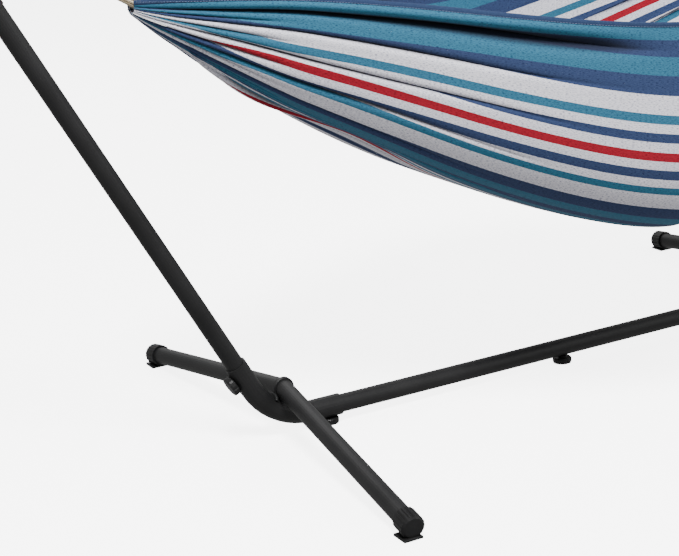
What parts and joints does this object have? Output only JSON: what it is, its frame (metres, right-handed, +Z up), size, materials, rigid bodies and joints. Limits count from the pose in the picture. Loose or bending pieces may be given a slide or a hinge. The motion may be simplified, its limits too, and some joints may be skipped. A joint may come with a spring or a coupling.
{
  "type": "hammock on stand",
  "caption": "Striped cotton hammock with rope ends, hung between the raised arms of a free-standing black steel tube stand with cross feet.",
  "frame": {"origin": "on the floor, under the middle of the stand", "axes": "+X along the beam towards the right end, +Y across the stand to the rear, +Z up"},
  "size_m": [2.685, 1.1622, 1.1678],
  "materials": {
    "powder_coat": "matte black powder coat with a fine orange-peel grain",
    "plastic": "moulded black plastic, satin",
    "zinc": "zinc plated",
    "cotton": "woven cotton in teal, navy, heathered white and red stripes",
    "rope": "twisted beige cord"
  },
  "bodies": {
    "stand": {"beam_tube": "powder_coat", "centre_foot_nut": "zinc", "left_elbow": "powder_coat", "left_foot_connector": "powder_coat", "left_front_foot_tube": "powder_coat", "left_rear_foot_tube": "powder_coat", "left_front_foot_cap": "plastic", "left_rear_foot_cap": "plastic", "left_lower_arm": "powder_coat", "left_upper_arm": "powder_coat", "left_arm_cap": "plastic", "left_arm_nut": "zinc", "left_beam_nut": "zinc", "left_hook": "powder_coat", "left_hook_tip": "plastic", "right_elbow": "powder_coat", "right_foot_connector": "powder_coat", "right_front_foot_tube": "powder_coat", "right_rear_foot_tube": "powder_coat", "right_front_foot_cap": "plastic", "right_rear_foot_cap": "plastic", "right_lower_arm": "powder_coat", "right_upper_arm": "powder_coat", "right_arm_cap": "plastic", "right_arm_nut": "zinc", "right_beam_nut": "zinc", "right_hook": "powder_coat", "right_hook_tip": "plastic"},
    "hammock": {"hammock_bed": "cotton", "left_rope_eye": "rope", "left_whipping": "rope", "left_clew_cords": "rope", "right_rope_eye": "rope", "right_whipping": "rope", "right_clew_cords": "rope"},
    "left_arm_knob": {"left_arm_knob": "plastic"},
    "left_beam_knob": {"left_beam_knob": "plastic"},
    "right_arm_knob": {"right_arm_knob": "plastic"},
    "right_beam_knob": {"right_beam_knob": "plastic"},
    "centre_foot": {"centre_foot": "plastic"}
  },
  "joints": [
    {"name": "hammock_swing", "type": "hinge", "parent": "stand", "child": "hammock", "pos_m": [0, 0, 1.0901], "axis": [1, 0, 0], "range_deg": [-35, 35]},
    {"name": "left_arm_knob_turn", "type": "hinge", "parent": "stand", "child": "left_arm_knob", "pos_m": [-0.7794, 0, 0.144], "axis": [-0.8806, 0, -0.4738], "continuous": true},
    {"name": "left_beam_knob_turn", "type": "hinge", "parent": "stand", "child": "left_beam_knob", "pos_m": [-0.592, 0, 0.0361], "axis": [0, 0, -1], "continuous": true},
    {"name": "right_arm_knob_turn", "type": "hinge", "parent": "stand", "child": "right_arm_knob", "pos_m": [0.7794, 0, 0.144], "axis": [0.8806, 0, -0.4738], "continuous": true},
    {"name": "right_beam_knob_turn", "type": "hinge", "parent": "stand", "child": "right_beam_knob", "pos_m": [0.592, 0, 0.0361], "axis": [0, 0, -1], "continuous": true},
    {"name": "centre_foot_turn", "type": "hinge", "parent": "stand", "child": "centre_foot", "pos_m": [0, 0, 0.0361], "axis": [0, 0, -1], "continuous": true}
  ]
}
